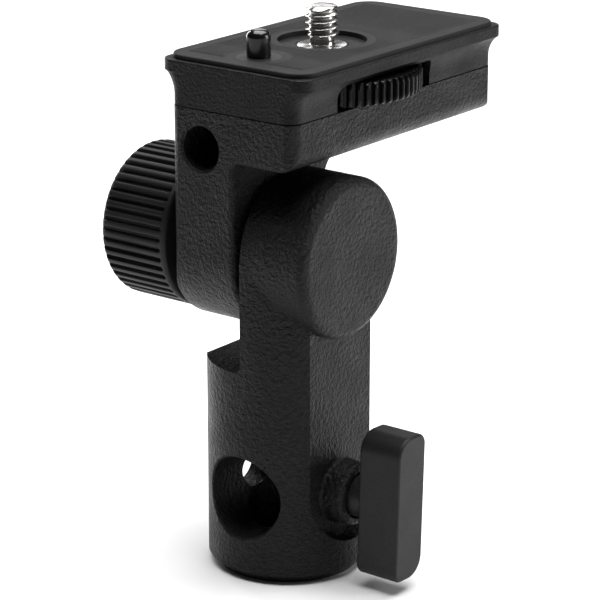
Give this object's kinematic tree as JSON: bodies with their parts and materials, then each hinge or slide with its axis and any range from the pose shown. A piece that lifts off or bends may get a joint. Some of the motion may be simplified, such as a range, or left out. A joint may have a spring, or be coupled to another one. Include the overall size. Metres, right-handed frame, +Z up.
{
  "type": "umbrella swivel bracket",
  "caption": "Tilting stand adapter with a cross-bored post, T-handle clamp screw, ribbed tilt knob and a padded camera plate with thumbwheel screw and umbrella bore.",
  "frame": {"origin": "centre of the post's bottom rim, on the stand socket's axis", "axes": "+Z up along the stand socket, X along the tilt axis with the tilt knob on the -X side and the clamp handle on the +X side, +Y along the umbrella bore towards the long end of the plate"},
  "size_m": [0.0631, 0.0645, 0.1069],
  "materials": {
    "post_casting": "textured black powder coat",
    "head_casting": "textured black powder coat",
    "top_cover": "fine matte grain",
    "rubber": "fine lined rubber",
    "handle": "satin",
    "knob": "matte",
    "gloss_black": "gloss",
    "wheel": "satin",
    "steel": "turned",
    "black_steel": "black oxide",
    "brass": "turned",
    "nylon": "natural"
  },
  "bodies": {
    "post": {"post_casting": "post_casting", "clamp_bush": "brass", "tilt_insert": "brass", "friction_disc": "black_steel"},
    "head": {"head_casting": "head_casting", "top_cover": "top_cover", "cover_screws": "black_steel", "rubber_pad": "rubber", "pin_collar": "rubber", "anti_twist_pin": "gloss_black", "ear_bush": "nylon", "thrust_washer": "nylon", "detent_spring": "steel"},
    "lock_washers": {"spring_washer": "black_steel", "tilt_washer": "steel"},
    "tilt_lock": {"tilt_knob": "knob", "knob_cap": "knob", "tilt_bolt": "black_steel"},
    "clamp_tip": {"clamp_shoe": "brass"},
    "clamp_handle": {"clamp_screw": "black_steel", "clamp_handle": "handle"},
    "wheel": {"thumbwheel": "wheel", "camera_screw": "steel"},
    "umbrella_detent": {"detent_ball": "steel"}
  },
  "joints": [
    {"name": "head_tilt", "type": "hinge", "parent": "post", "child": "head", "pos_m": [0, 0, 0.0631], "axis": [1, 0, 0], "range_deg": [-85, 90]},
    {"name": "lock_travel", "type": "slide", "parent": "post", "child": "lock_washers", "axis": [1, 0, 0], "range_m": [-0.002, 0]},
    {"name": "lock_turn", "type": "hinge", "parent": "lock_washers", "child": "tilt_lock", "pos_m": [0, 0, 0.0631], "axis": [1, 0, 0], "range_deg": [-577, 0]},
    {"name": "clamp_travel", "type": "slide", "parent": "post", "child": "clamp_tip", "axis": [1, 0, 0], "range_m": [-0.0022, 0.00125]},
    {"name": "clamp_turn", "type": "hinge", "parent": "clamp_tip", "child": "clamp_handle", "pos_m": [0, 0, 0.0167], "axis": [1, 0, 0], "range_deg": [-634, 361]},
    {"name": "wheel_turn", "type": "hinge", "parent": "head", "child": "wheel", "pos_m": [-0.0012, 0.012, 0.0936], "axis": [0, 0, 1], "continuous": true},
    {"name": "detent", "type": "slide", "parent": "head", "child": "umbrella_detent", "axis": [0, 0, 1], "range_m": [-0.0006, 0], "stiffness_N_per_m": 1500, "springref_m": 0.0008, "deforming": ["detent_spring"]}
  ],
  "couplings": [
    {"joint": "lock_turn", "follows": "lock_travel", "rad_per_m": 5026.5},
    {"joint": "clamp_turn", "follows": "clamp_travel", "rad_per_m": 5026.5}
  ]
}
